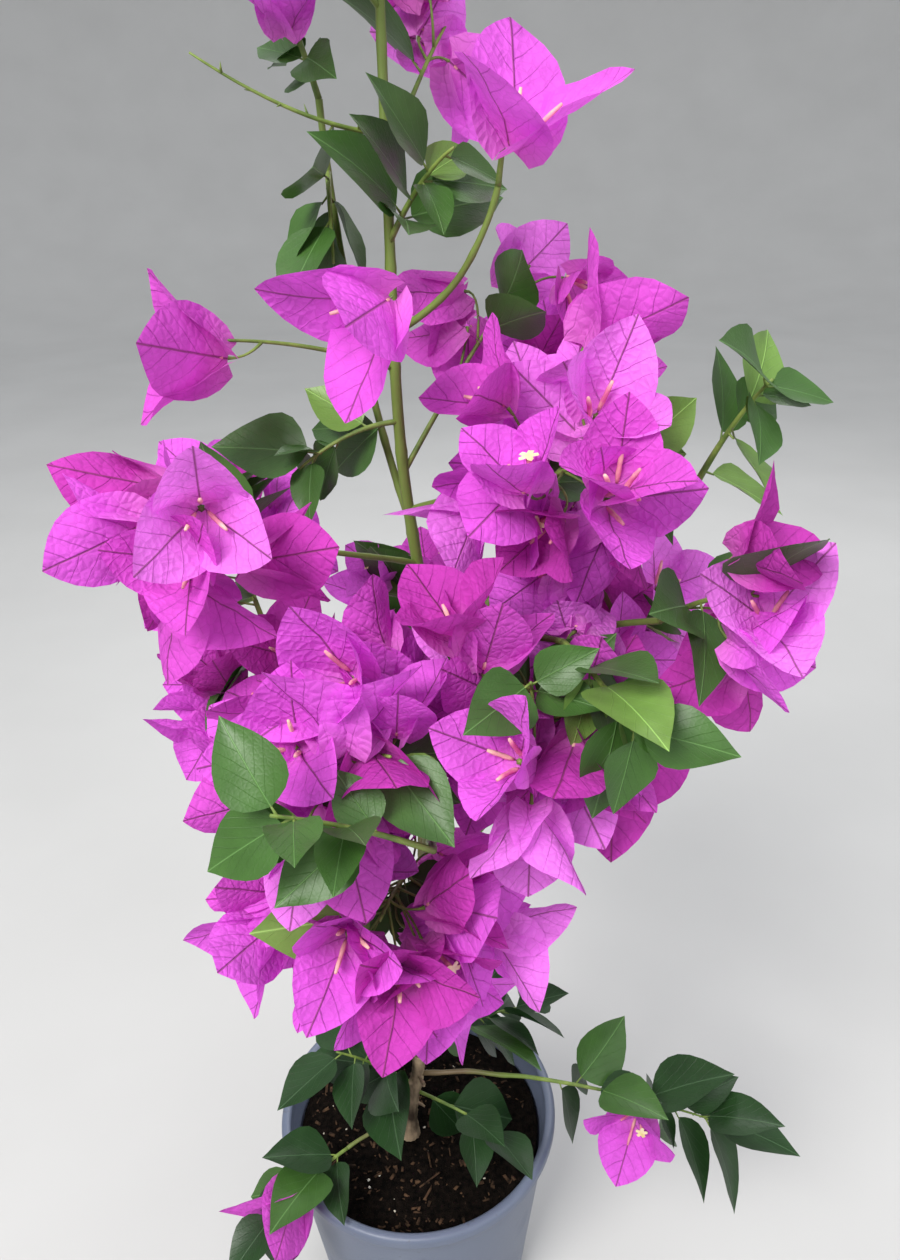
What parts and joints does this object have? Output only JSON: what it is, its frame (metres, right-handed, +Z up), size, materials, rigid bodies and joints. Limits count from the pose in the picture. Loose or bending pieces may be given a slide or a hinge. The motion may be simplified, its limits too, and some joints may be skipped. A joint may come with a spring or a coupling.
{
  "type": "potted bougainvillea bush",
  "caption": "Young bougainvillea in a plastic nursery pot: one tall thin leader with arching boughs, magenta papery bracts and green leaves, densest in a low front crown.",
  "frame": {"origin": "centre of the pot's flat underside", "axes": "+Z up the plant's height; -Y the side seen in the picture, where the crown is densest; +X to the right in the picture"},
  "size_m": [0.4556, 0.4525, 1.1205],
  "materials": {
    "pot": "satin grey-blue moulded plastic",
    "compost": "dark moist peat with bits of bark",
    "bark": "rough grey-brown bark",
    "stem": "smooth green young wood",
    "blossom": "papery magenta bracts",
    "leaves": "soft green leaves"
  },
  "bodies": {
    "root": {"pot": "pot", "soil": "compost", "trunk": "bark", "leader": "stem", "second_leader": "stem", "bough_left": "stem", "bough_top_right": "stem", "bough_right": "stem", "bough_green": "stem", "bough_centre": "stem", "bough_right_edge": "stem", "bough_left_crown": "stem", "bough_front": "stem", "bough_back_left": "stem", "bough_back": "stem", "bough_back_right": "stem", "bough_side_left": "stem", "bough_side_right": "stem", "bough_leafy": "stem", "bough_front_leaves": "stem", "bough_low_right": "stem", "bough_low_left": "stem", "left_bloom": "blossom", "high_left_bloom": "blossom", "far_left_bloom": "blossom", "top_right_bloom": "blossom", "top_middle_bloom": "blossom", "top_left_spray": "blossom", "second_leader_leaves": "leaves", "tip_spray": "blossom", "upper_right_spray": "blossom", "upper_left_spray": "blossom", "high_leaves": "leaves", "middle_leaves": "leaves", "right_high_bloom": "blossom", "crown_right": "blossom", "green_shoot": "leaves", "crown_middle": "blossom", "crown_right_edge": "blossom", "crown_left": "blossom", "crown_front": "blossom", "back_left": "blossom", "back": "blossom", "back_right": "blossom", "side_left": "blossom", "side_right": "blossom", "low_bloom": "blossom", "low_left_leaves": "leaves", "low_front_leaves": "leaves", "low_right_leaves": "leaves", "low_right_shoot": "blossom", "low_left_shoot": "blossom", "crown_leaves": "leaves", "front_leaves": "leaves"}
  },
  "joints": []
}
